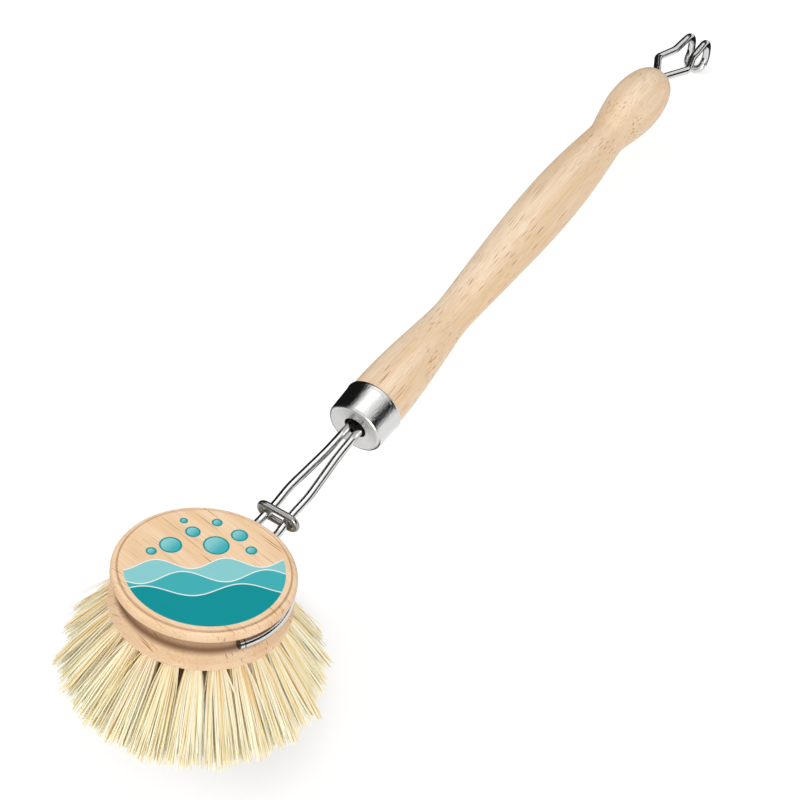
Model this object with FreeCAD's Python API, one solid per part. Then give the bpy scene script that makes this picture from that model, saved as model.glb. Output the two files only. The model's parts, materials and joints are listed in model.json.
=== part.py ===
import FreeCAD, Part
import math
import os
from collections import namedtuple

from FreeCAD import Placement, Rotation, Vector

# Dish brush with an exchangeable round head, in millimetres and degrees.
# It is drawn in the head's frame: the head's axis is Z, its face is z = 0 and the handle leaves along +X.
# Last of all it is laid down as it lies on a table, on its rear bristles and its hook.

# Head block, a turned beech disc with a groove for the wire
FLANGE_DIA = 40.0
FACE_INSET = 1.55
FACE_STEP = 0.35
BEAD_ROUND = 1.05
BEAD_DROP = 0.2
HEAD_HEIGHT = 10.8
LIP_DEPTH = 2.1
CEILING_DROP = 0.25
RIM_HEIGHT = 2.3
RIM_ROUND = 0.8
GROOVE_INSET = 2.2
GROOVE_DEPTH = 4.7
GROOVE_WIDTH = 2.3
FLANK_HOLLOW = 0.18

# Steel wire of the fork, the core and the hook
WIRE_DIA = 2.0
WIRE_TO_GROOVE = 0.15
PRONG_WRAP = 120.0
PRONG_TURN = 3.0

# Neck, measured along the handle's axis from the bend behind the head
HANDLE_TILT = 15.5
BEND_BEHIND_HEAD = 3.3
WAIST_AT = 6.0
WAIST_SPACING = 4.8
BULGE_AT = 12.0
BULGE_SPACING = 5.25
FLARE_AT = 25.0
FLARE_SPACING = 2.95
HEAD_SPACING = 5.5
CORE_SPACING = 2.4
NECK_BEND_RADIUS = 30.0
FLARE_BEND_RADIUS = 80.0
FORK_BEND_RADIUS = 6.0

# Clamp ring, an oval of wire that slides on the two prongs
RING_AT = 4.2
RING_WIRE_DIA = 1.6
RING_INNER_LENGTH = 8.2
RING_CLEARANCE = 0.25

# Ferrule, a thin steel cap on the front of the handle
FERRULE_AT = 33.65
FERRULE_LENGTH = 8.45
FERRULE_DIA = 14.7
FERRULE_TAPER = 0.5
FERRULE_WALL = 0.4
FERRULE_ROUND = 0.9
FERRULE_DISH = 0.5
FERRULE_MOUTH_DIA = 5.8
FERRULE_LIP = 1.1
FERRULE_FIT = 0.05
FERRULE_BEAD = 0.12
FERRULE_BEAD_LENGTH = 0.9

# Handle, turned beech: stations from the ferrule's rear edge, with their diameters
# A pull is the share of a run over which the profile hugs its station's diameter.
SHOULDER_DIA = 14.1
SHOULDER_PULL = 0.44
NECK_AT = 33.0
NECK_DIA = 9.6
NECK_FRONT_PULL = 0.2
NECK_REAR_PULL = 0.13
BELLY_AT = 77.0
BELLY_DIA = 13.4
BELLY_FRONT_PULL = 0.4
BELLY_REAR_PULL = 0.53
WRIST_AT = 105.3
WRIST_DIA = 9.95
WRIST_FRONT_PULL = 0.1
WRIST_REAR_PULL = 0.14
KNOB_AT = 119.8
KNOB_DIA = 14.05
KNOB_FRONT_PULL = 0.4
KNOB_REAR_PULL = 0.6
HANDLE_END = 131.7
END_DIA = 6.0
TENON_GAP = 0.3
BORE_CLEARANCE = 0.15
PIVOT_IN = 5.3
PIVOT_GAP = 0.3

# Hook: the wire's two strands spread, close again, curl down together and join at the tip
SPREAD_AT = 8.8
SPREAD_WIDTH = 9.0
SPREAD_DROP = 1.1
CLOSE_AT = 14.9
CLOSE_WIDTH = 5.4
CLOSE_DROP = 2.2
HOOK_REACH = 24.6
HOOK_WIDTH = 4.6
HOOK_TOP_DROP = 3.0
HOOK_BACK_DROP = 9.8
HOOK_TIP = 2.9
HOOK_RADIUS = 4.0
HOOK_BACK_RADIUS = 3.6
STRAND_BEND_RADIUS = 1.8
CLOSE_BEND_RADIUS = 5.4
TIP_HALF_FLAT = 0.05

# Bristle tufts, set in rows of slanted blind holes, each held by a flat anchor
HOLE_WALL = 0.75
HOLE_DEPTH = 5.6
DRILL_OVERRUN = 8.4
TUFT_CLEARANCE = 0.05
TUFT_GAP = 0.5
TUFT_CROWN = 0.8
FOLD_HEIGHT = 0.9
ANCHOR_HEIGHT = 1.8
ANCHOR_THICKNESS = 0.4
OUTER_TUFTS = 22
OUTER_INSET = 4.6
OUTER_SPLAY = 32.0
OUTER_LENGTH = 24.0
MIDDLE_TUFTS = 12
MIDDLE_SHARE = 0.65
MIDDLE_SPLAY = 18.0
MIDDLE_LENGTH = 24.0
INNER_TUFTS = 6
INNER_SHARE = 0.32
INNER_SPLAY = 8.0
INNER_LENGTH = 24.0
CENTRE_LENGTH = 24.0
CENTRE_TIP_DIA = 6.8

OUTER_CIRCLE_DIA = FLANGE_DIA - 2 * OUTER_INSET
MIDDLE_CIRCLE_DIA = OUTER_CIRCLE_DIA * MIDDLE_SHARE
INNER_CIRCLE_DIA = OUTER_CIRCLE_DIA * INNER_SHARE
# The outer row's holes come closest at their inner ends, where a wall is left between them
HOLE_END_CIRCLE_DIA = OUTER_CIRCLE_DIA - 2 * HOLE_DEPTH * math.sin(math.radians(OUTER_SPLAY))
HOLE_DIA = HOLE_END_CIRCLE_DIA * math.sin(math.pi / OUTER_TUFTS) - HOLE_WALL
Row = namedtuple("Row", "name count circle_dia splay length")
ROWS = (
    Row("outer", OUTER_TUFTS, OUTER_CIRCLE_DIA, OUTER_SPLAY, OUTER_LENGTH),
    Row("middle", MIDDLE_TUFTS, MIDDLE_CIRCLE_DIA, MIDDLE_SPLAY, MIDDLE_LENGTH),
    Row("inner", INNER_TUFTS, INNER_CIRCLE_DIA, INNER_SPLAY, INNER_LENGTH),
    Row("centre", 1, 0.0, 0.0, CENTRE_LENGTH),
)

Station = namedtuple("Station", "along diameter front_pull rear_pull")
STATIONS = (
    Station(0.0, SHOULDER_DIA, 0.0, SHOULDER_PULL),
    Station(NECK_AT, NECK_DIA, NECK_FRONT_PULL, NECK_REAR_PULL),
    Station(BELLY_AT, BELLY_DIA, BELLY_FRONT_PULL, BELLY_REAR_PULL),
    Station(WRIST_AT, WRIST_DIA, WRIST_FRONT_PULL, WRIST_REAR_PULL),
    Station(KNOB_AT, KNOB_DIA, KNOB_FRONT_PULL, KNOB_REAR_PULL),
)

WIRE_RADIUS = WIRE_DIA / 2
GROOVE_DIA = FLANGE_DIA - 2 * GROOVE_INSET
BEND_AT = FLANGE_DIA / 2 + BEND_BEHIND_HEAD
PRONG_RADIUS = GROOVE_DIA / 2 + WIRE_TO_GROOVE + WIRE_RADIUS
PIVOT_AT = FERRULE_AT + PIVOT_IN
FERRULE_REAR = FERRULE_AT + FERRULE_LENGTH
KNOB_END = FERRULE_REAR + HANDLE_END
TENON_AT = FERRULE_AT + FERRULE_DISH + FERRULE_LIP + TENON_GAP
BORE_DIA = CORE_SPACING + WIRE_DIA + 2 * BORE_CLEARANCE
TILT = math.radians(HANDLE_TILT)
UP = Vector(0, 0, 1)
ACROSS = Vector(0, 1, 0)
ORIGIN = Vector(0, 0, 0)


def neck_point(along, across=0.0, above=0.0):
    """A point by its place along the handle's axis, to its side and above it."""
    x = BEND_AT + along * math.cos(TILT) - above * math.sin(TILT)
    z = -GROOVE_DEPTH + along * math.sin(TILT) + above * math.cos(TILT)
    return Vector(x, across, z)


HANDLE_PLACE = Placement(neck_point(0), Rotation(ACROSS, -HANDLE_TILT))


def line(start, end):
    return Part.LineSegment(start, end).toShape()


def arc(start, middle, end):
    return Part.Arc(start, middle, end).toShape()


def arc_between(start, end, centre):
    """The short arc from start to end about a centre."""
    middle = (start - centre) + (end - centre)
    middle.multiply((start - centre).Length / middle.Length)
    return arc(start, centre + middle, end)


def curve(start, start_pull, end_pull, end):
    """A smooth cubic from start to end that leaves and arrives along its two pulls."""
    bezier = Part.BezierCurve()
    bezier.setPoles([start, start_pull, end_pull, end])
    return bezier.toShape()


def revolved(edges, axis):
    return Part.Face(Part.Wire(edges)).revolve(ORIGIN, axis, 360)


def rounded_path(points, radii):
    """Straight runs between points, with a tangent arc at each inner point."""
    edges = []
    start = points[0]
    for before, corner, after, radius in zip(points, points[1:], points[2:], radii):
        back = (before - corner).normalize()
        ahead = (after - corner).normalize()
        half_turn = (math.pi - back.getAngle(ahead)) / 2
        reach = radius * math.tan(half_turn)
        enter = corner + back * reach
        leave = corner + ahead * reach
        centre = corner + (back + ahead).normalize() * (radius / math.cos(half_turn))
        edges.append(line(start, enter))
        edges.append(arc_between(enter, leave, centre))
        start = leave
    edges.append(line(start, points[-1]))
    return edges


def round_rod(edges, diameter):
    """A round rod along tangent edges."""
    path = Part.Wire(edges)
    first = path.OrderedEdges[0]
    section = Part.makeCircle(diameter / 2, first.valueAt(first.FirstParameter),
                              first.tangentAt(first.FirstParameter))
    return path.makePipeShell([Part.Wire(section)], True, False)


def head_block():
    """The disc's profile is turned about Z, then drilled for the tufts."""
    flange = FLANGE_DIA / 2
    face = flange - FACE_INSET
    core = GROOVE_DIA / 2
    groove_half = GROOVE_WIDTH / 2
    floor_round = groove_half * (math.sqrt(2) - 1)
    rim_top = -HEAD_HEIGHT + RIM_HEIGHT
    groove_top = Vector(core + floor_round, 0, -GROOVE_DEPTH + groove_half)
    groove_floor = Vector(core, 0, -GROOVE_DEPTH)
    groove_foot = Vector(core + floor_round, 0, -GROOVE_DEPTH - groove_half)
    rim_edge = Vector(flange, 0, rim_top)
    flank_middle = (groove_foot + rim_edge) / 2 - Vector(FLANK_HOLLOW, 0, FLANK_HOLLOW)
    notch = Vector(face + FACE_STEP / 2, 0, -FACE_STEP)
    bead_top = Vector(flange - BEAD_ROUND, 0, -BEAD_DROP)
    bead_side = Vector(flange, 0, -BEAD_DROP - BEAD_ROUND)
    bead_centre = Vector(flange - BEAD_ROUND, 0, -BEAD_DROP - BEAD_ROUND)
    lip = Vector(flange, 0, -LIP_DEPTH)
    ceiling = Vector(core + floor_round, 0, -LIP_DEPTH - CEILING_DROP)
    round_start = Vector(flange, 0, -HEAD_HEIGHT + RIM_ROUND)
    round_end = Vector(flange - RIM_ROUND, 0, -HEAD_HEIGHT)
    round_centre = Vector(flange - RIM_ROUND, 0, -HEAD_HEIGHT + RIM_ROUND)
    axis_foot = Vector(0, 0, -HEAD_HEIGHT)
    edges = [
        line(ORIGIN, Vector(face, 0, 0)),
        line(Vector(face, 0, 0), notch),
        line(notch, bead_top),
        arc_between(bead_top, bead_side, bead_centre),
        line(bead_side, lip),
        line(lip, ceiling),
        line(ceiling, groove_top),
        arc(groove_top, groove_floor, groove_foot),
        arc(groove_foot, flank_middle, rim_edge),
        line(rim_edge, round_start),
        arc_between(round_start, round_end, round_centre),
        line(round_end, axis_foot),
        line(axis_foot, ORIGIN),
    ]
    drill = Part.makeCylinder(HOLE_DIA / 2, HOLE_DEPTH + DRILL_OVERRUN, Vector(0, 0, -HOLE_DEPTH))
    holes = [placed(drill, place) for row in ROWS for place in hole_places(row)]
    return revolved(edges, UP).cut(holes)


def hole_places(row):
    """Where each hole of a row has its mouth, with its axis pointing out of the block."""
    slant = Placement(Vector(row.circle_dia / 2, 0, -HEAD_HEIGHT), Rotation(ACROSS, 180 - row.splay))
    turns = [Placement(ORIGIN, Rotation(UP, 360.0 * index / row.count)) for index in range(row.count)]
    return [turn.multiply(slant) for turn in turns]


def tip_diameter(row):
    """Tufts fan out until they nearly meet their neighbours in the row."""
    if row.count == 1:
        return CENTRE_TIP_DIA
    tip_circle = row.circle_dia + 2 * row.length * math.sin(math.radians(row.splay))
    return tip_circle * math.sin(math.pi / row.count) - TUFT_GAP


def crown_radius(row):
    """Radius of the ball that the tips of one tuft are trimmed to."""
    half = tip_diameter(row) / 2
    return (half ** 2 + TUFT_CROWN ** 2) / (2 * TUFT_CROWN)


def anchor():
    """The flat staple that pins a folded tuft in its hole."""
    length = HOLE_DIA - 2 * TUFT_CLEARANCE
    foot = -HOLE_DEPTH + TUFT_CLEARANCE + FOLD_HEIGHT + TUFT_CLEARANCE
    return Part.makeBox(ANCHOR_THICKNESS, length, ANCHOR_HEIGHT,
                        Vector(-ANCHOR_THICKNESS / 2, -length / 2, foot))


def tuft(row):
    """One bundle of fibre: folded round its anchor in the hole, flared and trimmed round at the tips."""
    root = HOLE_DIA / 2 - TUFT_CLEARANCE
    tip = tip_diameter(row) / 2
    foot = -HOLE_DEPTH + TUFT_CLEARANCE
    clear_of_wood = HOLE_DIA / 2 * math.tan(math.radians(row.splay))
    crown_centre = row.length + TUFT_CROWN - crown_radius(row)
    crown_slant = math.asin(tip / crown_radius(row)) / 2
    crown_middle = Vector(crown_radius(row) * math.sin(crown_slant), 0,
                          crown_centre + crown_radius(row) * math.cos(crown_slant))
    corners = [Vector(0, 0, foot), Vector(root, 0, foot), Vector(root, 0, clear_of_wood),
               Vector(tip, 0, row.length)]
    top = Vector(0, 0, row.length + TUFT_CROWN)
    edges = [line(start, end) for start, end in zip(corners, corners[1:])]
    edges.append(arc(corners[-1], crown_middle, top))
    edges.append(line(top, corners[0]))
    thickness = ANCHOR_THICKNESS + 2 * TUFT_CLEARANCE
    slot = Part.makeBox(thickness, HOLE_DIA, ANCHOR_HEIGHT + 2 * TUFT_CLEARANCE,
                        Vector(-thickness / 2, -HOLE_DIA / 2, foot + FOLD_HEIGHT))
    return revolved(edges, UP).cut(slot)


def prong(side):
    """One arm of the fork: down the neck, round a tight turn and along the head's groove."""
    pivot = neck_point(PIVOT_AT, side * CORE_SPACING / 2)
    flare = neck_point(FLARE_AT, side * FLARE_SPACING / 2)
    bulge = neck_point(BULGE_AT, side * BULGE_SPACING / 2)
    waist = neck_point(WAIST_AT, side * WAIST_SPACING / 2)
    bend = neck_point(0, side * HEAD_SPACING / 2)
    turn_across = HEAD_SPACING / 2 + PRONG_TURN
    turn_ahead = math.sqrt((PRONG_RADIUS + PRONG_TURN) ** 2 - turn_across ** 2)
    turn_centre = Vector(turn_ahead, side * turn_across, -GROOVE_DEPTH)
    head_centre = Vector(0, 0, -GROOVE_DEPTH)
    turn_start = Vector(turn_ahead, side * HEAD_SPACING / 2, -GROOVE_DEPTH)
    turn_end = head_centre + (turn_centre - head_centre) * (PRONG_RADIUS / (PRONG_RADIUS + PRONG_TURN))
    wrap_start = math.atan2(turn_across, turn_ahead)
    wrap_end = math.radians(PRONG_WRAP)
    groove_points = []
    for angle in ((wrap_start + wrap_end) / 2, wrap_end):
        spoke = Vector(math.cos(angle), side * math.sin(angle), 0)
        groove_points.append(head_centre + spoke * PRONG_RADIUS)
    radii = (FLARE_BEND_RADIUS, NECK_BEND_RADIUS, NECK_BEND_RADIUS, FORK_BEND_RADIUS)
    edges = rounded_path([pivot, flare, bulge, waist, bend, turn_start], radii)
    edges.append(arc_between(turn_start, turn_end, turn_centre))
    edges.append(arc(turn_end, groove_points[0], groove_points[1]))
    return round_rod(edges, WIRE_DIA)


def clamp_ring():
    """A closed oval of wire, square across the neck."""
    end_radius = (WIRE_DIA + RING_WIRE_DIA) / 2 + RING_CLEARANCE
    half_run = (RING_INNER_LENGTH + RING_WIRE_DIA) / 2 - end_radius
    corners = [neck_point(RING_AT, side * half_run, level * end_radius)
               for side, level in ((-1, 1), (1, 1), (1, -1), (-1, -1))]
    ends = [neck_point(RING_AT, side * (half_run + end_radius)) for side in (1, -1)]
    edges = [
        line(corners[0], corners[1]),
        arc(corners[1], ends[0], corners[2]),
        line(corners[2], corners[3]),
        arc(corners[3], ends[1], corners[0]),
    ]
    return round_rod(edges, RING_WIRE_DIA)


def ferrule():
    """A cap drawn from sheet: tapered wall, rear bead, rounded front, dished face and turned-in lip."""
    rear = FERRULE_DIA / 2
    front = rear - FERRULE_TAPER / 2
    mouth = FERRULE_MOUTH_DIA / 2
    bead_at = FERRULE_REAR - FERRULE_BEAD_LENGTH
    lip_end = FERRULE_AT + FERRULE_DISH + FERRULE_LIP
    edge_round = FERRULE_ROUND
    inner_round = FERRULE_ROUND - FERRULE_WALL
    inner_face = FERRULE_AT + FERRULE_WALL
    turn = FERRULE_WALL
    outer = [
        Vector(mouth, 0, lip_end),
        Vector(mouth, 0, FERRULE_AT + FERRULE_DISH),
        Vector(front - edge_round, 0, FERRULE_AT),
        Vector(front, 0, FERRULE_AT + edge_round),
        Vector(rear, 0, bead_at),
        Vector(rear + FERRULE_BEAD, 0, bead_at + FERRULE_BEAD_LENGTH / 2),
        Vector(rear, 0, FERRULE_REAR),
    ]
    inner = [
        Vector(rear - FERRULE_WALL, 0, FERRULE_REAR),
        Vector(front - FERRULE_WALL, 0, inner_face + inner_round),
        Vector(front - edge_round, 0, inner_face),
        Vector(mouth + turn, 0, FERRULE_AT + FERRULE_DISH + turn),
        Vector(mouth + turn, 0, lip_end),
    ]
    edges = [
        line(outer[0], outer[1]),
        line(outer[1], outer[2]),
        arc_between(outer[2], outer[3], Vector(front - edge_round, 0, FERRULE_AT + edge_round)),
        line(outer[3], outer[4]),
        arc(outer[4], outer[5], outer[6]),
        line(outer[6], inner[0]),
        line(inner[0], inner[1]),
        arc_between(inner[1], inner[2], Vector(front - edge_round, 0, inner_face + inner_round)),
        line(inner[2], inner[3]),
        line(inner[3], inner[4]),
        line(inner[4], outer[0]),
    ]
    return placed(revolved(edges, UP), HANDLE_PLACE.multiply(Placement(ORIGIN, Rotation(ACROSS, 90))))


def handle():
    """Turned beech, bored through: a tenon for the ferrule, two slim waists, a long belly and a knob."""
    tenon_rear = FERRULE_DIA / 2 - FERRULE_WALL - FERRULE_FIT
    tenon_front = tenon_rear - FERRULE_TAPER / 2
    counterbore = FERRULE_MOUTH_DIA / 2
    counterbore_end = PIVOT_AT + PIVOT_GAP
    bore = BORE_DIA / 2

    def at(along, diameter):
        return Vector(diameter / 2, 0, FERRULE_REAR + along)

    knob = STATIONS[-1]
    end = at(HANDLE_END, END_DIA)
    corners = [
        end,
        Vector(bore, 0, KNOB_END),
        Vector(bore, 0, counterbore_end),
        Vector(counterbore, 0, counterbore_end),
        Vector(counterbore, 0, TENON_AT),
        Vector(tenon_front, 0, TENON_AT),
        Vector(tenon_rear, 0, FERRULE_REAR),
        at(0, SHOULDER_DIA),
    ]
    edges = [line(start, finish) for start, finish in zip(corners, corners[1:])]
    for before, after in zip(STATIONS, STATIONS[1:]):
        run = after.along - before.along
        edges.append(curve(
            at(before.along, before.diameter),
            at(before.along + run * before.rear_pull, before.diameter),
            at(after.along - run * after.front_pull, after.diameter),
            at(after.along, after.diameter),
        ))
    edges.append(curve(
        at(knob.along, knob.diameter),
        at(knob.along + (HANDLE_END - knob.along) * knob.rear_pull, knob.diameter),
        at(HANDLE_END, (knob.diameter + END_DIA) / 2),
        end,
    ))
    return placed(revolved(edges, UP), HANDLE_PLACE.multiply(Placement(ORIGIN, Rotation(ACROSS, 90))))


def hook_tip(across=0.0):
    """The hook's lowest point, where the two strands join."""
    return neck_point(KNOB_END + HOOK_REACH - HOOK_TIP, across, -HOOK_BACK_DROP - HOOK_TIP)


def hook_strand(side):
    """Corner points of one strand, from the handle's core to the hook's tip."""
    reach = KNOB_END + HOOK_REACH
    return [
        neck_point(PIVOT_AT + PIVOT_GAP, side * CORE_SPACING / 2),
        neck_point(KNOB_END + WIRE_DIA, side * CORE_SPACING / 2),
        neck_point(KNOB_END + SPREAD_AT, side * SPREAD_WIDTH / 2, -SPREAD_DROP),
        neck_point(KNOB_END + CLOSE_AT, side * CLOSE_WIDTH / 2, -CLOSE_DROP),
        neck_point(reach, side * HOOK_WIDTH / 2, -HOOK_TOP_DROP),
        neck_point(reach, side * HOOK_WIDTH / 2, -HOOK_BACK_DROP),
        hook_tip(side * HOOK_WIDTH / 2),
    ]


def hook_wire():
    """One wire, doubled: up one side of the bore, round the hook's tip and back down the other side."""
    strand_radii = [STRAND_BEND_RADIUS, STRAND_BEND_RADIUS, CLOSE_BEND_RADIUS, HOOK_RADIUS,
                    HOOK_BACK_RADIUS, HOOK_WIDTH / 2 - TIP_HALF_FLAT]
    left = hook_strand(1)
    right = hook_strand(-1)
    edges = rounded_path(left + right[::-1], strand_radii + strand_radii[::-1])
    return round_rod(edges, WIRE_DIA)


def placed(shape, place):
    copy = shape.copy()
    copy.Placement = place.multiply(copy.Placement)
    return copy


def resting_tilt():
    """How far the brush leans back when its rear bristles and its hook lie on one plane."""
    rear = ROWS[0]
    slant = math.radians(rear.splay)
    crown = crown_radius(rear)
    reach = rear.length + TUFT_CROWN - crown
    heel = Vector(rear.circle_dia / 2 + reach * math.sin(slant), 0, -HEAD_HEIGHT - reach * math.cos(slant))
    span = hook_tip() - heel
    step = WIRE_RADIUS - crown
    return math.degrees(math.atan2(span.z, span.x) - math.asin(step / span.Length))


def resting_place(nodes):
    """The place that leans the brush back and puts the origin under the middle of its box."""
    lean = Placement(ORIGIN, Rotation(ACROSS, resting_tilt()))
    box = FreeCAD.BoundBox()
    for shape in nodes.values():
        box.add(placed(shape, lean).optimalBoundingBox(False, False))
    return Placement(Vector(-box.Center.x, -box.Center.y, -box.ZMin), Rotation()).multiply(lean)


def brush():
    """Every node by name, in the head's frame."""
    nodes = {
        "handle": handle(),
        "ferrule": ferrule(),
        "hook_wire": hook_wire(),
        "left_prong": prong(1),
        "right_prong": prong(-1),
        "clamp_ring": clamp_ring(),
        "head_block": head_block(),
    }
    for row in ROWS:
        bundle = tuft(row)
        places = hole_places(row)
        for number, place in enumerate(places, 1):
            nodes["tuft_%s_%02d" % (row.name, number)] = placed(bundle, place)
        nodes["anchors_%s" % row.name] = Part.makeCompound([placed(anchor(), place) for place in places])
    return nodes


def main():
    nodes = brush()
    place = resting_place(nodes)
    os.makedirs("parts", exist_ok=True)
    for name, shape in nodes.items():
        placed(shape, place).exportStep("parts/%s.step" % name)


main()
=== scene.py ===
import json
import math
import random
from collections import namedtuple

import bpy
from mathutils import Matrix, Quaternion, Vector


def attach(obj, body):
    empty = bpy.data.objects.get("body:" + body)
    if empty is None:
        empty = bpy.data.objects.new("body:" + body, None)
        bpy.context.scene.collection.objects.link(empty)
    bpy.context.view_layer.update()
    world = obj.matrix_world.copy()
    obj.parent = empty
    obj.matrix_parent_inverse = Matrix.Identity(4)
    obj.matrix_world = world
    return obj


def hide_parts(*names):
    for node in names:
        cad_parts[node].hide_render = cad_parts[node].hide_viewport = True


# Looks of a dish brush: turned beech, tinned ferrule, bright wire and plant fibre.
# Names that end in MM are millimetres, angles are degrees, and everything else is metres.
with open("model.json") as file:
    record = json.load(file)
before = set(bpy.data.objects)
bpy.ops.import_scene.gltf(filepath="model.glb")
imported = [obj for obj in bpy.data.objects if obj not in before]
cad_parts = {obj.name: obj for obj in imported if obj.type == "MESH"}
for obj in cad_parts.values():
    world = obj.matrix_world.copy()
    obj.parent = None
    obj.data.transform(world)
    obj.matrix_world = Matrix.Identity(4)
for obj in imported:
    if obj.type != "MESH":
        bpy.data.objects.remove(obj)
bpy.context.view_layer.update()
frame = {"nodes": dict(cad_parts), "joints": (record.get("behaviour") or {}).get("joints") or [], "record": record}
MM = 0.001

# Camera, in the frame of the head's face
EYE_MM = (-274.6, -175.77, 308.63)
AIM_MM = (76.34, 0.0, 0.64)
ROLL = -4.585
LENS_MM = 94.5
SENSOR_MM = 36.0
CLIP_NEAR = 0.01
CLIP_FAR = 20.0

# Head and neck
HEAD_HEIGHT_MM = 10.8
NECK_FOOT_MM = (23.3, 0.0, -4.7)
BORE_RADIUS_MM = 3.2
BORE_EDGE_MM = 0.1

# Rows of tufts, and the fibres that each tuft is made of.
# The fibres inside a tuft are thicker, so that they pack it.
Row = namedtuple("Row", "name count circle_mm splay tip_mm fibres")
ROWS = (
    Row("outer", 22, 30.8, 32.0, 4.2, 190),
    Row("middle", 12, 20.02, 18.0, 4.6, 120),
    Row("inner", 6, 9.86, 8.0, 4.2, 80),
    Row("centre", 1, 0.0, 0.0, 3.5, 60),
)
ROOT_RADIUS_MM = 1.3
ROOT_DEPTH_MM = 1.5
FLOOR_GAP_MM = 0.15
FIBRE_SIDES = 4
FIBRE_LENGTH_MM = 24.6
FIBRE_WIDTH_MM = (0.3, 0.44)
FIBRE_FLARE = 0.7
FIBRE_TIP_MM = 0.18
FIBRE_STATIONS = (0.0, 0.35, 0.7, 1.0)
FIBRE_RAGGED = 0.06
FIBRE_BOW_MM = 0.25
FIBRE_WANDER_MM = 0.28
TUFT_RAGGED = 0.05
STRAY_CHANCE = 0.07
STRAY_MM = 1.3
PACKED_SHARE = 0.75
PACKED_WIDTH_MM = (0.7, 1.0)
CLUMPS = 9
CLUMP_PULL = 0.3

# Colours as they look, 0 to 255
BEECH_STREAK = (214, 168, 122)
# painted shade inside the handle's bore
BORE_SHADE = (52, 38, 28)
# painted shade for the head's groove, sides and notch
PAINTED_SHADE_BROWN = (100, 62, 35)
TEAL = (0, 148, 154)
TEAL_MID = (64, 178, 184)
TEAL_PALE = (140, 208, 210)
PRINT_WHITE = (250, 250, 246)
FIBRE_TONES = (
    (0.0, (255, 254, 238)),
    (0.6, (255, 249, 218)),
    (0.93, (252, 230, 170)),
    (0.99, (210, 158, 90)),
)
# gold painted shade near the fibres' roots
FIBRE_SHADE_GOLD = (226, 172, 92)
TIN = (210, 210, 209)
WIRE = (212, 212, 211)
RING = (162, 162, 162)
# painted shade at the prongs' cut ends
CUT_END_SHADE = (96, 92, 88)


def srgb(colour, alpha=1.0):
    """A colour as it looks, as the linear values that shaders take."""
    parts = []
    for part in colour:
        share = part / 255
        parts.append(share / 12.92 if share <= 0.04045 else ((share + 0.055) / 1.055) ** 2.4)
    return (*parts, alpha)


class Socket:
    """An output in a node tree. Arithmetic on it adds Math nodes."""

    def __init__(self, graph, output):
        self.graph = graph
        self.output = output

    def __add__(self, other):
        return self.graph.math("ADD", self, other)

    def __sub__(self, other):
        return self.graph.math("SUBTRACT", self, other)

    def __rsub__(self, other):
        return self.graph.math("SUBTRACT", other, self)

    def __mul__(self, other):
        return self.graph.math("MULTIPLY", self, other)

    def __pow__(self, other):
        return self.graph.math("POWER", self, other)

    __radd__ = __add__
    __rmul__ = __mul__


class Graph:
    """The node tree of one material or of the world."""

    def __init__(self, tree):
        self.tree = tree
        self.tree.nodes.clear()

    def node(self, kind, settings, inputs, *outputs):
        """Adds a node. Its settings come first, then the values or links of its inputs."""
        made = self.tree.nodes.new("ShaderNode" + kind)
        for name, value in settings.items():
            setattr(made, name, value)
        for name, value in inputs.items():
            if isinstance(value, Socket):
                self.tree.links.new(value.output, made.inputs[name])
            else:
                made.inputs[name].default_value = value
        found = [Socket(self, made.outputs[name]) for name in outputs]
        return found[0] if len(found) == 1 else found

    def math(self, operation, first, second=0.0):
        return self.node("Math", {"operation": operation}, {0: first, 1: second}, 0)

    def step(self, value, low, high):
        """0 below low, 1 above high, and smooth between them."""
        settings = {"interpolation_type": "SMOOTHSTEP"}
        return self.node("MapRange", settings, {"Value": value, "From Min": low, "From Max": high}, "Result")

    def mix(self, share, under, over):
        return self.node("Mix", {"data_type": "RGBA"}, {0: share, 6: under, 7: over}, 2)

    def stretched(self, vector, sizes):
        return self.node("VectorMath", {"operation": "DIVIDE"}, {0: vector, 1: sizes}, 0)

    def turned(self, vector, angle):
        inputs = {"Vector": vector, "Angle": -math.radians(angle)}
        return self.node("VectorRotate", {"rotation_type": "Z_AXIS"}, inputs, "Vector")

    def noise(self, vector, detail=2.0, rough=0.5):
        inputs = {"Vector": vector, "Scale": 1.0, "Detail": detail, "Roughness": rough}
        return self.node("TexNoise", {}, inputs, "Fac")

    def place(self, origin, lean):
        """Millimetres in a frame of the object, from its origin and its lean about Y."""
        spot = self.node("TexCoord", {}, {}, "Object")
        inputs = {"Vector": spot, "Location": origin, "Rotation": (0.0, math.radians(lean), 0.0),
                  "Scale": (MM, MM, MM)}
        return self.node("Mapping", {"vector_type": "TEXTURE"}, inputs, "Vector")

    def parts(self, vector):
        return self.node("SeparateXYZ", {}, {"Vector": vector}, "X", "Y", "Z")

    def bump(self, height, depth_mm):
        return self.node("Bump", {}, {"Height": height, "Distance": depth_mm * MM}, "Normal")

    def surface(self, **sockets):
        """A Principled surface, with its sockets named in words_with_underlines."""
        named = {name.replace("_", " "): value for name, value in sockets.items()}
        self.output(self.node("BsdfPrincipled", {}, named, "BSDF"))

    def output(self, shader, kind="OutputMaterial"):
        self.node(kind, {}, {"Surface": shader})


def new_material(name):
    made = bpy.data.materials.new(name)
    made.use_nodes = True
    return made, Graph(made.node_tree)


# Frames of the head and of the handle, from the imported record
head_mount = next(mount for mount in frame["record"]["mounts"] if mount["name"] == "head_face")
neck_axis = next(joint for joint in frame["joints"] if joint["name"] == "ring_slide")["axis"]
head_axis = Vector(head_mount["axis"])
HEAD_ORIGIN = Vector(head_mount["pos_m"])
HEAD_LEAN = math.degrees(math.atan2(head_axis.x, head_axis.z))
HANDLE_LEAN = math.degrees(math.atan2(-neck_axis[2], neck_axis[0]))
HEAD_TURN = Matrix.Rotation(math.radians(HEAD_LEAN), 4, "Y")
HEAD = Matrix.Translation(HEAD_ORIGIN) @ HEAD_TURN @ Matrix.Scale(MM, 4)
NECK_ORIGIN = HEAD @ Vector(NECK_FOOT_MM)


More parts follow.
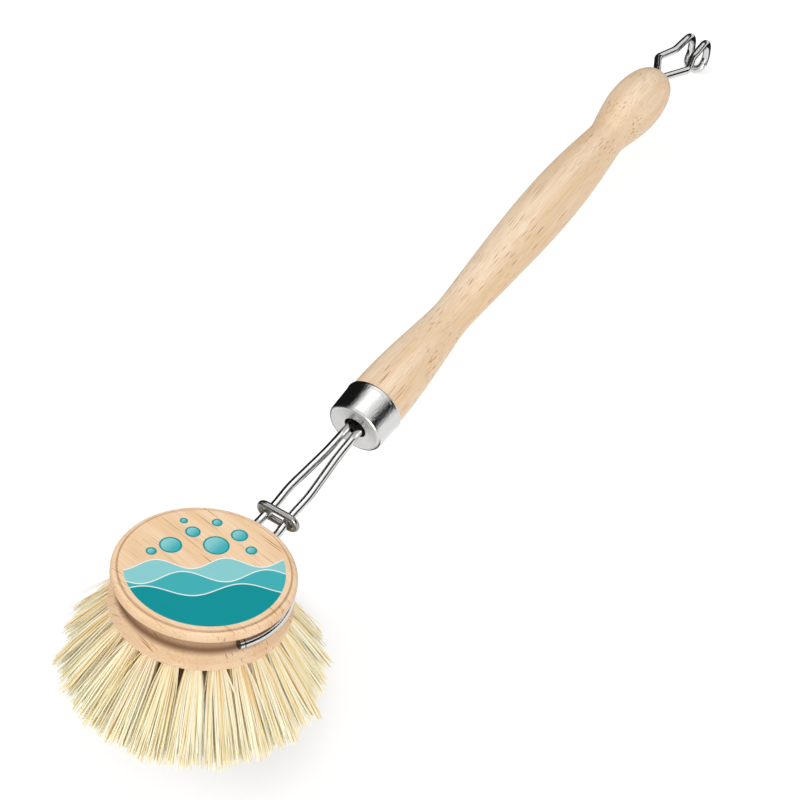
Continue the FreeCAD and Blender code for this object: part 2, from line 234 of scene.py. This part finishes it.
# Beech, with the grain along X of the vector that it is given, in millimetres
Beech = namedtuple("Beech", "tones fleck streak_share fleck_mm fleck_share")
HANDLE_WOOD = Beech(((240, 217, 188), (230, 200, 163)), (140, 74, 36), 0.6, (12.0, 0.28, 0.4), 1.0)
HEAD_WOOD = Beech(((252, 222, 186), (245, 209, 168)), (162, 88, 54), 0.5, (16.0, 0.36, 2.4), 0.95)
BAND_MM = (70.0, 5.0, 5.0)
STREAK_MM = (16.0, 0.24, 0.24)
ZONE_MM = (22.0, 3.0, 3.0)
BAND_STEP = (0.35, 0.65)
STREAK_STEP = (0.42, 0.72)
ZONE_STEP = (0.33, 0.58)
FLECK_STEP = (0.14, 0.3)
FLECK_CHANCE = (0.1, 0.8)
STREAK_DETAIL = (3.0, 0.6)
FLECK_SINK = 0.6
STREAK_SINK = 0.3
FLECK_DEPTH_MM = 0.04
HANDLE_ROUGHNESS = 0.45
HANDLE_COAT = 0.08
HANDLE_COAT_ROUGHNESS = 0.3
HEAD_ROUGHNESS = 0.5
HEAD_SPECULAR = 0.12


def beech(graph, grain, wood):
    """Colour and height of turned beech: broad bands, fine streaks and short dark flecks in loose groups."""
    bands = graph.step(graph.noise(graph.stretched(grain, BAND_MM)), *BAND_STEP)
    streaks = graph.step(graph.noise(graph.stretched(grain, STREAK_MM), *STREAK_DETAIL), *STREAK_STEP)
    zones = graph.step(graph.noise(graph.stretched(grain, ZONE_MM)), *ZONE_STEP)
    cell = {"Vector": graph.stretched(grain, wood.fleck_mm), "Scale": 1.0}
    distance, cell_colour = graph.node("TexVoronoi", {}, cell, "Distance", "Color")
    chance = graph.node("SeparateColor", {}, {"Color": cell_colour}, "Red")
    flecks = (1 - graph.step(distance, *FLECK_STEP)) * graph.step(chance, *FLECK_CHANCE) * zones
    colour = graph.mix(bands, srgb(wood.tones[0]), srgb(wood.tones[1]))
    colour = graph.mix(streaks * wood.streak_share, colour, srgb(BEECH_STREAK))
    colour = graph.mix(flecks * wood.fleck_share, colour, srgb(wood.fleck))
    height = 1 - flecks * FLECK_SINK - streaks * STREAK_SINK
    return colour, height


def handle_beech():
    made, graph = new_material("handle_beech")
    grain = graph.place(NECK_ORIGIN, HANDLE_LEAN)
    colour, height = beech(graph, grain, HANDLE_WOOD)
    along, across, above = graph.parts(grain)
    radius = (across ** 2 + above ** 2) ** 0.5
    # Painted shade inside the bore, in the ferrule's mouth
    bore_shade = 1 - graph.step(radius, BORE_RADIUS_MM - BORE_EDGE_MM, BORE_RADIUS_MM)
    colour = graph.mix(bore_shade, colour, srgb(BORE_SHADE))
    graph.surface(Base_Color=colour, Roughness=HANDLE_ROUGHNESS, Coat_Weight=HANDLE_COAT,
                  Coat_Roughness=HANDLE_COAT_ROUGHNESS, Normal=graph.bump(height, FLECK_DEPTH_MM))
    return made


# Print on the head's face: three waves with bubbles above them, in millimetres from the middle of the face
GRAIN_TURN = 81.5
PRINT_RADIUS_MM = 17.3
PRINT_TURN = -46.6
PRINT_EDGE_MM = 0.07
PRINT_DEPTH_MM = 0.2
WAVE_LINE_MM = 0.28
Wave = namedtuple("Wave", "level height length shift colour")
WAVES = (
    Wave(1.6, 1.5, 15.0, 1.0, TEAL_PALE),
    Wave(-2.4, 1.7, 18.0, 8.5, TEAL_MID),
    Wave(-6.4, 1.6, 21.0, 2.0, TEAL),
)
Bubble = namedtuple("Bubble", "across up radius")
BUBBLES = (
    Bubble(-6.6, 7.4, 2.5),
    Bubble(-1.4, 11.4, 1.7),
    Bubble(3.2, 7.0, 2.9),
    Bubble(8.6, 10.0, 1.9),
    Bubble(10.6, 5.2, 1.3),
    Bubble(-10.9, 5.6, 1.2),
    Bubble(-3.0, 15.0, 0.9),
    Bubble(4.2, 14.2, 1.2),
)
BUBBLE_RIM_MM = 0.38


def face_print(graph, spot, wood):
    """The wood's colour with the print over it, inside a disc on the face."""
    across, up, depth = graph.parts(graph.turned(spot, PRINT_TURN))
    colour = wood
    for wave in WAVES:
        crest = graph.math("SINE", (across - wave.shift) * (2 * math.pi / wave.length))
        below = crest * wave.height + wave.level - up
        line = graph.step(below, -PRINT_EDGE_MM, PRINT_EDGE_MM)
        field = graph.step(below, WAVE_LINE_MM - PRINT_EDGE_MM, WAVE_LINE_MM + PRINT_EDGE_MM)
        colour = graph.mix(line, colour, srgb(PRINT_WHITE))
        colour = graph.mix(field, colour, srgb(wave.colour))
    for bubble in BUBBLES:
        right = across - bubble.across
        rise = up - bubble.up
        reach = (right ** 2 + rise ** 2) ** 0.5
        inner = bubble.radius - BUBBLE_RIM_MM
        disc = 1 - graph.step(reach, bubble.radius - PRINT_EDGE_MM, bubble.radius + PRINT_EDGE_MM)
        inside = 1 - graph.step(reach, inner - PRINT_EDGE_MM, inner + PRINT_EDGE_MM)
        gleam = graph.step(rise - right, -bubble.radius, bubble.radius)
        colour = graph.mix(disc, colour, srgb(TEAL))
        colour = graph.mix(inside, colour, graph.mix(gleam, srgb(TEAL_MID), srgb(TEAL_PALE)))
    radius = (across ** 2 + up ** 2) ** 0.5
    printed = 1 - graph.step(radius, PRINT_RADIUS_MM - PRINT_EDGE_MM, PRINT_RADIUS_MM + PRINT_EDGE_MM)
    on_face = graph.step(depth, -PRINT_DEPTH_MM, -PRINT_DEPTH_MM / 2)
    return graph.mix(printed * on_face, wood, colour)


# Painted shade in the groove, on the sides and in the notch at the face's edge, by depth under the face
GROOVE_STARTS_MM = (1.85, 2.1)
GROOVE_DEEPENS_MM = (4.9, 6.0)
GROOVE_ENDS_MM = (5.9, 7.9)
GROOVE_SHARE = 0.62
DEEPEST_SHARE = 0.9
SIDE_MM = (0.2, 0.6)
SIDE_SHARE = 0.16
NOTCH_RADII_MM = (18.3, 18.5, 18.65, 18.85)
NOTCH_SHARE = 0.45


def groove_brown(graph, spot, wood):
    """The wood's colour with painted shade on the sides, in the groove and in the notch."""
    across, up, depth = graph.parts(spot)
    radius = (across ** 2 + up ** 2) ** 0.5
    under = depth * -1
    deepest = graph.step(under, *GROOVE_DEEPENS_MM) * (DEEPEST_SHARE - GROOVE_SHARE) + GROOVE_SHARE
    groove = graph.step(under, *GROOVE_STARTS_MM) * (1 - graph.step(under, *GROOVE_ENDS_MM)) * deepest
    # A little painted shade over all the sides, more in the groove under the bead
    side = graph.step(under, *SIDE_MM)
    # A thin ring of painted shade in the notch at the face's edge
    notch = graph.step(radius, *NOTCH_RADII_MM[:2]) * (1 - graph.step(radius, *NOTCH_RADII_MM[2:]))
    notch = notch * (1 - side) * NOTCH_SHARE
    painted_shade = graph.math("MAXIMUM", graph.math("MAXIMUM", groove, side * SIDE_SHARE), notch)
    return graph.mix(painted_shade, wood, srgb(PAINTED_SHADE_BROWN))


def head_beech():
    made, graph = new_material("head_beech")
    spot = graph.place(HEAD_ORIGIN, HEAD_LEAN)
    colour, height = beech(graph, graph.turned(spot, GRAIN_TURN), HEAD_WOOD)
    # Painted shade in the groove under the bead, on the sides and in the notch
    colour = groove_brown(graph, spot, colour)
    colour = face_print(graph, spot, colour)
    graph.surface(Base_Color=colour, Roughness=HEAD_ROUGHNESS, Specular_IOR_Level=HEAD_SPECULAR,
                  Normal=graph.bump(height, FLECK_DEPTH_MM))
    return made


SPANGLE_MM = (0.6, 0.4, 0.4)
SPANGLE_DETAIL = (4.0, 0.65)
SPANGLE_DEPTH_MM = 0.08
TIN_ROUGHNESS = 0.04
SPANGLE_ROUGHNESS = 0.08


def tinned_steel():
    """Bright tin plate with a faint spangle, so that reflections break up at their edges."""
    made, graph = new_material("tinned_steel")
    spot = graph.place(NECK_ORIGIN, HANDLE_LEAN)
    spangle = graph.noise(graph.stretched(spot, SPANGLE_MM), *SPANGLE_DETAIL)
    graph.surface(Base_Color=srgb(TIN), Metallic=1.0, Roughness=TIN_ROUGHNESS + SPANGLE_ROUGHNESS * spangle,
                  Normal=graph.bump(spangle, SPANGLE_DEPTH_MM))
    return made


SCRATCH_MM = (5.0, 0.12, 0.12)
SCRATCH_DEPTH_MM = 0.01
SCRATCH_ROUGHNESS = 0.12
WIRE_ROUGHNESS = 0.12
RING_ROUGHNESS = 0.2
PRONG_END_MM = (-9.475, 16.411, -4.7)
CUT_FACE_MM = (1.0, 1.06)
CUT_LINE_MM = (1.5, 1.56, 1.72, 1.78)


def drawn_wire(name, colour, roughness):
    """Drawn steel wire with faint scratches along it, and painted shade on the prongs' cut end faces and in a thin
    ring just behind them.
    """
    made, graph = new_material(name)
    spot = graph.place(NECK_ORIGIN, HANDLE_LEAN)
    scratches = graph.noise(graph.stretched(spot, SCRATCH_MM))
    x, y, z = graph.parts(graph.place(HEAD_ORIGIN, HEAD_LEAN))
    ahead, beside, above = PRONG_END_MM
    reach = ((x - ahead) ** 2 + (graph.math("ABSOLUTE", y) - beside) ** 2 + (z - above) ** 2) ** 0.5
    # Painted shade on the cut end face and in a thin ring behind it
    face = 1 - graph.step(reach, *CUT_FACE_MM)
    line = graph.step(reach, *CUT_LINE_MM[:2]) * (1 - graph.step(reach, *CUT_LINE_MM[2:]))
    tone = graph.mix(graph.math("MAXIMUM", face, line), srgb(colour), srgb(CUT_END_SHADE))
    graph.surface(Base_Color=tone, Metallic=1.0, Roughness=roughness + SCRATCH_ROUGHNESS * scratches,
                  Normal=graph.bump(scratches, SCRATCH_DEPTH_MM))
    return made


FIBRE_STREAK_MM = (0.5, 0.5, 4.0)
FIBRE_STREAK_DETAIL = 3.0
FIBRE_STREAK_SHARE = 0.15
FIBRE_ROUGHNESS = 0.5
# Gold painted shade near the roots, where the tufts shade each other: a little on the outer row, much on the inner
# rows
ROOT_SHADE_MM = (-26.0, -12.0)
OUTER_ROOT_SHADE = 0.2
INNER_ROOT_SHADE = 0.85


def plant_fibre(name, root_shade):
    """Each fibre has a tone of its own, with fine streaks along it, and a share of gold painted shade near its
    root.
    """
    made, graph = new_material(name)
    chance = graph.node("NewGeometry", {}, {}, "Random Per Island")
    colour = srgb(FIBRE_TONES[0][1])
    for (low, _), (high, tone) in zip(FIBRE_TONES, FIBRE_TONES[1:]):
        colour = graph.mix(graph.step(chance, low, high), colour, srgb(tone))
    spot = graph.place(HEAD_ORIGIN, HEAD_LEAN)
    streaks = graph.noise(graph.stretched(spot, FIBRE_STREAK_MM), FIBRE_STREAK_DETAIL)
    colour = graph.mix(streaks * FIBRE_STREAK_SHARE, colour, srgb(FIBRE_TONES[2][1]))
    along = graph.parts(spot)[2]
    colour = graph.mix(graph.step(along, *ROOT_SHADE_MM) * root_shade, colour, srgb(FIBRE_SHADE_GOLD))
    graph.surface(Base_Color=colour, Roughness=FIBRE_ROUGHNESS)
    return made


GOLDEN_ANGLE = math.pi * (3 - math.sqrt(5))


def spread(index, count):
    """Share of the radius and angle of one of count points spread evenly over a disc."""
    return math.sqrt((index + 0.5) / count), index * GOLDEN_ANGLE


def on_disc(share, angle, radius):
    return Vector((math.cos(angle), math.sin(angle), 0)) * (share * radius)


def clump_centres(rng, row):
    """Where the fibres of one tuft draw together at their tips."""
    centres = []
    for index in range(CLUMPS):
        share, angle = spread(index, CLUMPS)
        wander = Vector((rng.gauss(0, FIBRE_WANDER_MM), rng.gauss(0, FIBRE_WANDER_MM), 0))
        centres.append(on_disc(share, angle, row.tip_mm) + wander)
    return centres


def fibre_points(rng, row, index, tuft_length, centres):
    """Stations of one fibre's middle line, in the frame of its hole."""
    share, angle = spread(index, row.fibres)
    root = on_disc(share, angle, ROOT_RADIUS_MM)
    tip = on_disc(share, angle, row.tip_mm)
    nearest = min(centres, key=lambda centre: (centre - tip).length)
    tip = tip.lerp(nearest, CLUMP_PULL)
    wander = STRAY_MM if rng.random() < STRAY_CHANCE else FIBRE_WANDER_MM
    length = tuft_length * (1 - abs(rng.gauss(0, FIBRE_RAGGED)))
    tip += Vector((rng.gauss(0, wander), rng.gauss(0, wander), length))
    bow = Vector((rng.gauss(0, FIBRE_BOW_MM), rng.gauss(0, FIBRE_BOW_MM), 0))
    points = [root - Vector((0, 0, ROOT_DEPTH_MM))]
    for station in FIBRE_STATIONS:
        middle = root.lerp(tip, station ** FIBRE_FLARE)
        middle.z = tip.z * station
        points.append(middle + bow * math.sin(math.pi * station))
    return points


def floor_height(point):
    """Height in millimetres over the table of a point in the head's frame, at the head's worst turn."""
    lean = math.radians(HEAD_LEAN)
    radius = math.hypot(point.x, point.y)
    return HEAD_ORIGIN.z / MM - radius * math.sin(lean) + point.z * math.cos(lean)


def trimmed(points):
    """The fibre cut where it would go into the table."""
    mouth = floor_height(points[1])
    tip = floor_height(points[-1])
    if tip >= FLOOR_GAP_MM:
        return points
    keep = (mouth - FLOOR_GAP_MM) / (mouth - tip)
    return points[:1] + [points[1].lerp(point, keep) for point in points[1:]]


def add_fibre(vertices, faces, points, width, twist, across):
    """A four-sided strand along the points, thinner at its tip."""
    first = len(vertices)
    last = len(points) - 1
    for station, point in enumerate(points):
        size = (width + (FIBRE_TIP_MM - width) * station / last) / 2
        for corner in range(FIBRE_SIDES):
            angle = twist + corner * 2 * math.pi / FIBRE_SIDES
            side = across[0] * math.cos(angle) + across[1] * math.sin(angle)
            vertices.append(HEAD @ (point + side * size))
    for station in range(last):
        base = first + station * FIBRE_SIDES
        over = base + FIBRE_SIDES
        for corner in range(FIBRE_SIDES):
            after = (corner + 1) % FIBRE_SIDES
            faces.append((base + corner, base + after, over + after, over + corner))
    end = first + last * FIBRE_SIDES
    faces.append(tuple(reversed(range(first, first + FIBRE_SIDES))))
    faces.append(tuple(range(end, end + FIBRE_SIDES)))


def tuft_piece(row, number):
    """Loose fibres in place of one tuft's solid."""
    rng = random.Random(row.name + str(number))
    turn = Matrix.Rotation(2 * math.pi * number / row.count, 4, "Z")
    slant = Matrix.Rotation(math.pi - math.radians(row.splay), 4, "Y")
    hole = turn @ Matrix.Translation((row.circle_mm / 2, 0, -HEAD_HEIGHT_MM)) @ slant
    across = [hole.to_3x3() @ Vector(axis) for axis in ((1, 0, 0), (0, 1, 0))]
    tuft_length = FIBRE_LENGTH_MM * (1 - abs(rng.gauss(0, TUFT_RAGGED)))
    centres = clump_centres(rng, row)
    vertices = []
    faces = []
    for index in range(row.fibres):
        points = fibre_points(rng, row, index, tuft_length, centres)
        points = trimmed([hole @ point for point in points])
        inside = spread(index, row.fibres)[0] < PACKED_SHARE
        width = rng.uniform(*(PACKED_WIDTH_MM if inside else FIBRE_WIDTH_MM))
        add_fibre(vertices, faces, points, width, rng.uniform(0, math.pi), across)
    mesh = bpy.data.meshes.new("fibres")
    mesh.from_pydata(vertices, [], faces)
    name = "%s_%02d" % (row.name, number + 1)
    piece = bpy.data.objects.new("fibres_" + name, mesh)
    bpy.context.scene.collection.objects.link(piece)
    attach(piece, "brush_head")
    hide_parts("tuft_" + name)
    return piece


def dress(nodes, material):
    for name in nodes:
        slots = frame["nodes"][name].data.materials
        slots.clear()
        slots.append(material)


# Stage: a pale floor, soft lamps and dark cards that only reflections show
FLOOR_SIZE = 6.0
FLOOR_TONE = (198, 198, 198)
FLOOR_GLOW = 0.52
AMBIENT = 0.68
Lamp = namedtuple("Lamp", "name place size watts")
LAMPS = (
    Lamp("overhead", (0.42, 0.1, 1.0), (0.8, 0.3), 1.1),
    Lamp("left", (-0.5, 0.8, 0.65), (0.5, 0.5), 4.0),
    Lamp("right", (-0.5, -0.75, 0.4), (0.5, 0.5), 4.2),
)
CARD_TONE = (0.012, 0.012, 0.012, 1.0)
Card = namedtuple("Card", "name corners")


def floor_card(name, low, high):
    """A dark card that lies on the floor between two corners."""
    (left, near, height), (right, far) = low, high
    corners = ((left, near), (right, near), (right, far), (left, far))
    return Card(name, tuple((x, y, height) for x, y in corners))


CARDS = (
    Card("left_card", ((-0.2, 0.07, 0.0), (0.7, 0.07, 0.0), (0.7, 0.3, 0.5), (-0.2, 0.3, 0.5))),
    Card("right_card", ((-0.3, -0.5, 0.0), (0.5, -0.5, 0.0), (0.5, -0.5, 0.45), (-0.3, -0.5, 0.45))),
    Card("far_card", ((0.45, -1.3, 0.0), (0.45, 1.3, 0.0), (0.45, 1.3, 0.16), (0.45, -1.3, 0.16))),
    floor_card("handle_card", (-0.044, 0.008, 0.0005), (0.7, 0.07)),
    floor_card("neck_card", (-0.044, -0.025, 0.0005), (-0.03, 0.008)),
    floor_card("hook_card", (0.128, -0.02, 0.0003), (0.15, 0.02)),
)


def seen_rays(graph):
    """1 for rays from the camera, a reflection or glass, which see the bright backdrop."""
    kinds = ("Is Camera Ray", "Is Glossy Ray", "Is Transmission Ray")
    camera, glossy, clear = graph.node("LightPath", {}, {}, *kinds)
    return graph.math("MAXIMUM", graph.math("MAXIMUM", camera, glossy), clear)


def backdrop():
    world = bpy.data.worlds.new("studio")
    bpy.context.scene.world = world
    world.use_nodes = True
    graph = Graph(world.node_tree)
    soft = graph.node("Background", {}, {"Color": (1, 1, 1, 1), "Strength": AMBIENT}, 0)
    white = graph.node("Background", {}, {"Color": (1, 1, 1, 1), "Strength": 1.0}, 0)
    graph.output(graph.node("MixShader", {}, {0: seen_rays(graph), 1: soft, 2: white}, 0), "OutputWorld")


def stage_plane(name, corners, material):
    mesh = bpy.data.meshes.new(name)
    mesh.from_pydata(corners, [], [(0, 1, 2, 3)])
    mesh.materials.append(material)
    plane = bpy.data.objects.new(name, mesh)
    bpy.context.scene.collection.objects.link(plane)
    return plane


def floor():
    made, graph = new_material("floor")
    matt = graph.node("BsdfDiffuse", {}, {"Color": srgb(FLOOR_TONE)}, 0)
    glow = graph.node("Emission", {}, {"Color": (1, 1, 1, 1), "Strength": seen_rays(graph) * FLOOR_GLOW}, 0)
    graph.output(graph.node("AddShader", {}, {0: matt, 1: glow}, 0))
    half = FLOOR_SIZE / 2
    corners = [(x, y, 0) for x, y in ((-half, -half), (half, -half), (half, half), (-half, half))]
    stage_plane("floor", corners, made)


def dark_cards():
    made, graph = new_material("dark_card")
    graph.output(graph.node("BsdfDiffuse", {}, {"Color": CARD_TONE}, 0))
    for card in CARDS:
        plane = stage_plane(card.name, card.corners, made)
        plane.visible_camera = False
        plane.visible_diffuse = False
        plane.visible_shadow = False
        plane.visible_transmission = False


def lamps():
    for lamp in LAMPS:
        data = bpy.data.lights.new(lamp.name, "AREA")
        data.shape = "RECTANGLE"
        data.size, data.size_y = lamp.size
        data.energy = lamp.watts
        light = bpy.data.objects.new(lamp.name, data)
        bpy.context.scene.collection.objects.link(light)
        light.location = lamp.place
        light.rotation_euler = (-Vector(lamp.place)).to_track_quat("-Z", "Y").to_euler()


def photo_camera():
    data = bpy.data.cameras.new("camera")
    data.lens = LENS_MM
    data.sensor_width = SENSOR_MM
    camera = bpy.data.objects.new("camera", data)
    bpy.context.scene.collection.objects.link(camera)
    eye = HEAD @ Vector(EYE_MM)
    aim = HEAD @ Vector(AIM_MM)
    look = (aim - eye).to_track_quat("-Z", "Y")
    camera.location = eye
    camera.rotation_mode = "QUATERNION"
    camera.rotation_quaternion = look @ Quaternion((0, 0, 1), math.radians(ROLL))
    data.clip_start = CLIP_NEAR
    data.clip_end = CLIP_FAR
    bpy.context.scene.camera = camera


def main():
    steel = drawn_wire("steel_wire", WIRE, WIRE_ROUGHNESS)
    dress(["handle"], handle_beech())
    dress(["head_block"], head_beech())
    dress(["ferrule"], tinned_steel())
    dress(["hook_wire", "left_prong", "right_prong"], steel)
    dress(["clamp_ring"], drawn_wire("ring_steel", RING, RING_ROUGHNESS))
    dress([name for name in frame["nodes"] if name.startswith("anchors_")], steel)
    # The inner rows take a shaded copy of the fibre, with more painted shade at the roots
    outer_fibre = plant_fibre("plant_fibre", OUTER_ROOT_SHADE)
    inner_fibre = plant_fibre("inner_fibre", INNER_ROOT_SHADE)
    for row in ROWS:
        for number in range(row.count):
            fibre = outer_fibre if row is ROWS[0] else inner_fibre
            tuft_piece(row, number).data.materials.append(fibre)
    backdrop()
    floor()
    dark_cards()
    lamps()
    photo_camera()
    bpy.context.scene.view_settings.view_transform = "Standard"


main()
